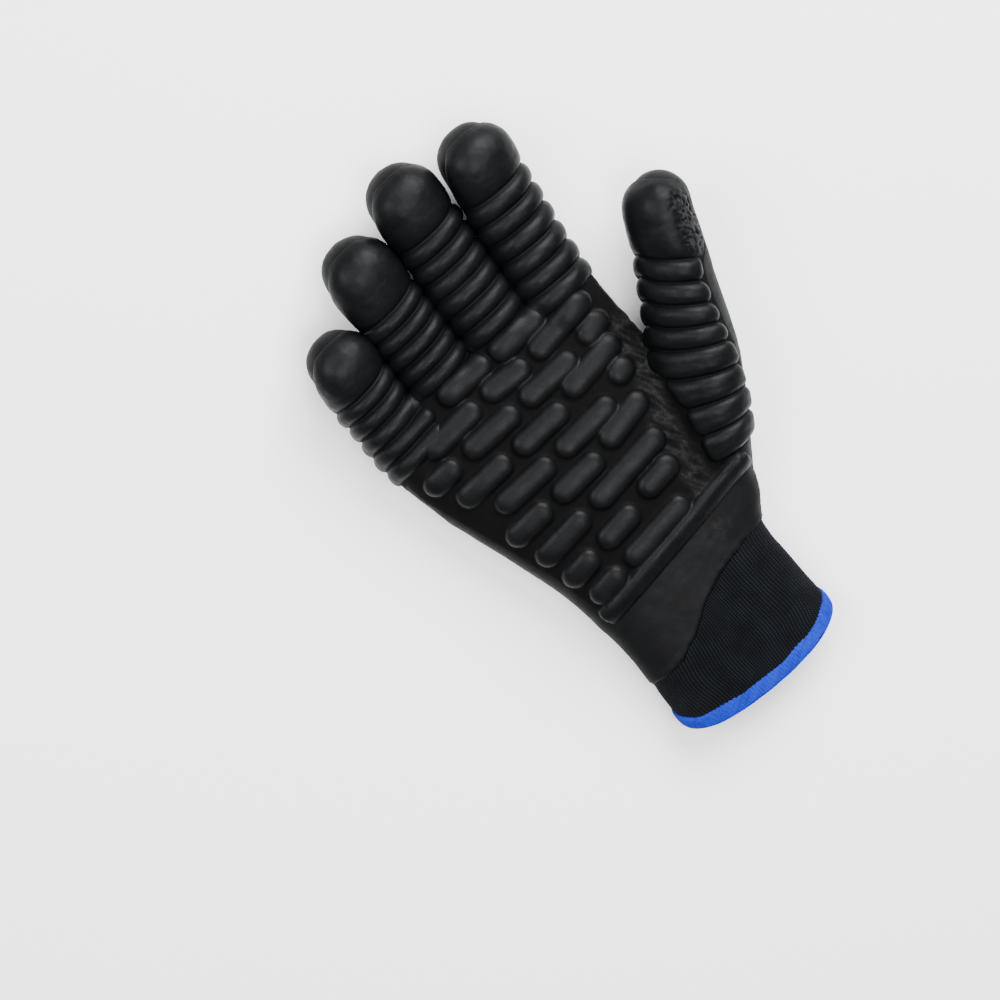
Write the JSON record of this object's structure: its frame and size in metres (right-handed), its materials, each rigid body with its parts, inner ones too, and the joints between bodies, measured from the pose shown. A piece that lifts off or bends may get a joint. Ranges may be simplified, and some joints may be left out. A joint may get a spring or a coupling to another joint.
{
  "type": "anti vibration glove",
  "caption": "Right-hand work glove with a knitted liner and cuff, a dipped rubber coat, and moulded shock-absorbing ribs and pads on the palm side.",
  "frame": {"origin": "under the middle of the glove, on the surface that it lies on", "axes": "+Y from the cuff to the fingertips, +Z out of the palm (up, as the glove lies on its back), +X towards the thumb"},
  "size_m": [0.1638, 0.2664, 0.0466],
  "materials": {
    "rubber": "matt dipped chloroprene with a soft sheen",
    "ribbed_rubber": "moulded foam chloroprene with a soft sheen",
    "knit": "fine rib knit",
    "hem_yarn": "overlock yarn"
  },
  "bodies": {
    "root": {"rubber_coat": "rubber", "knit_liner": "knit", "cuff_hem": "hem_yarn", "palm_pads": "ribbed_rubber", "thumb_ribs": "ribbed_rubber", "index_ribs": "ribbed_rubber", "middle_ribs": "ribbed_rubber", "ring_ribs": "ribbed_rubber", "little_ribs": "ribbed_rubber"}
  },
  "joints": []
}
